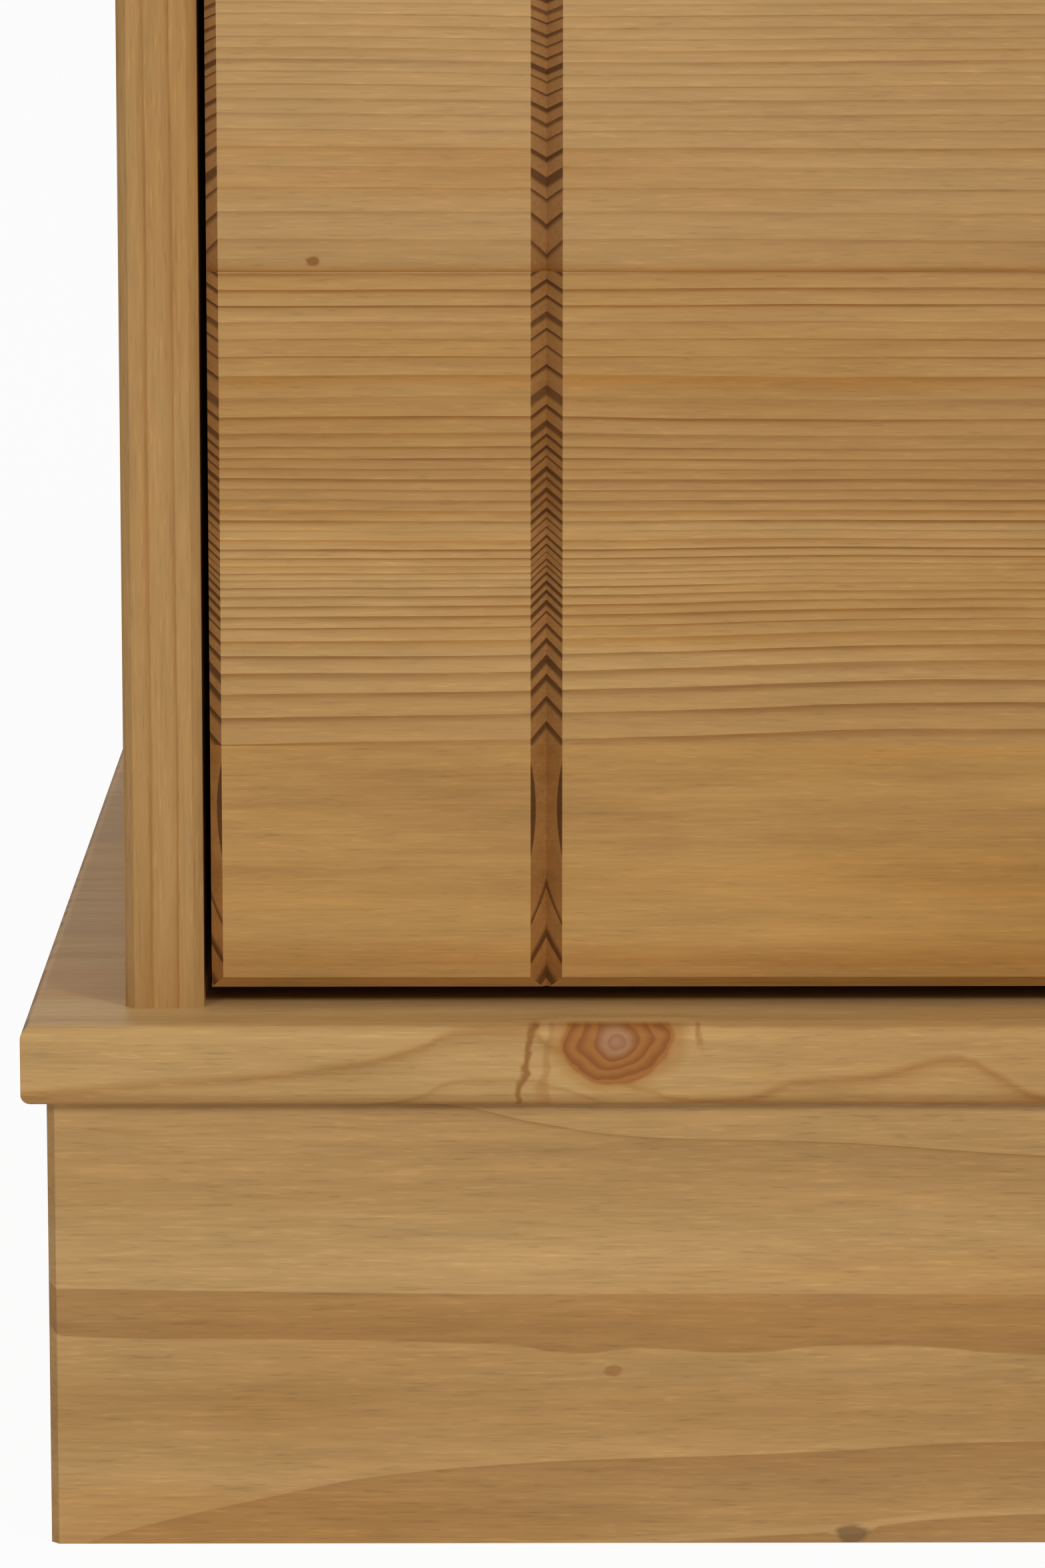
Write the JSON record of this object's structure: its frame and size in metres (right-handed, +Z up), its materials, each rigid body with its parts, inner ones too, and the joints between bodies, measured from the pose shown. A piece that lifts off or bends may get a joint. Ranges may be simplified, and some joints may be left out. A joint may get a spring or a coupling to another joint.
{
  "type": "chest of drawers",
  "caption": "Pine chest of drawers on a plinth, with bevelled, V-grooved drawer fronts and turned knobs; the dovetailed drawers slide on wooden runners.",
  "frame": {"origin": "on the floor under the middle of the chest, midway between its ends and between front and back", "axes": "+X to the right as seen from the front, +Y to the back, +Z up"},
  "size_m": [0.9, 0.45, 0.96],
  "materials": {
    "carcass_pine": "waxed pine, satin",
    "front_pine": "waxed pine, satin",
    "knob_pine": "turned pine, satin",
    "box_pine": "bare planed pine",
    "rail_pine": "bare planed pine",
    "runner_beech": "bare beech, rubbed smooth",
    "plywood": "thin birch plywood",
    "screw_steel": "zinc plated"
  },
  "bodies": {
    "carcass": {"back_panel": "plywood", "base_board": "carcass_pine", "lower_cross_rail": "rail_pine", "lower_runner_left": "runner_beech", "lower_runner_right": "runner_beech", "middle_cross_rail": "rail_pine", "middle_runner_left": "runner_beech", "middle_runner_right": "runner_beech", "plinth_back": "carcass_pine", "plinth_block_back_left": "rail_pine", "plinth_block_back_right": "rail_pine", "plinth_block_front_left": "rail_pine", "plinth_block_front_right": "rail_pine", "plinth_front": "carcass_pine", "plinth_left": "carcass_pine", "plinth_right": "carcass_pine", "rear_rail": "rail_pine", "side_left": "carcass_pine", "side_right": "carcass_pine", "top_board": "carcass_pine", "top_kicker_left": "runner_beech", "top_kicker_right": "runner_beech", "top_rail": "rail_pine", "upper_runner_left": "runner_beech", "upper_runner_right": "runner_beech"},
    "lower_drawer": {"lower_front": "front_pine", "lower_left_side": "box_pine", "lower_right_side": "box_pine", "lower_back": "box_pine", "lower_bottom": "plywood", "lower_knobs": "knob_pine", "lower_knob_screws": "screw_steel"},
    "middle_drawer": {"middle_front": "front_pine", "middle_left_side": "box_pine", "middle_right_side": "box_pine", "middle_back": "box_pine", "middle_bottom": "plywood", "middle_knobs": "knob_pine", "middle_knob_screws": "screw_steel"},
    "upper_drawer": {"upper_front": "front_pine", "upper_left_side": "box_pine", "upper_right_side": "box_pine", "upper_back": "box_pine", "upper_bottom": "plywood", "upper_knobs": "knob_pine", "upper_knob_screws": "screw_steel"}
  },
  "joints": [
    {"name": "lower_drawer_slide", "type": "slide", "parent": "carcass", "child": "lower_drawer", "axis": [0, -1, 0], "range_m": [0, 0.3]},
    {"name": "middle_drawer_slide", "type": "slide", "parent": "carcass", "child": "middle_drawer", "axis": [0, -1, 0], "range_m": [0, 0.3]},
    {"name": "upper_drawer_slide", "type": "slide", "parent": "carcass", "child": "upper_drawer", "axis": [0, -1, 0], "range_m": [0, 0.3]}
  ]
}
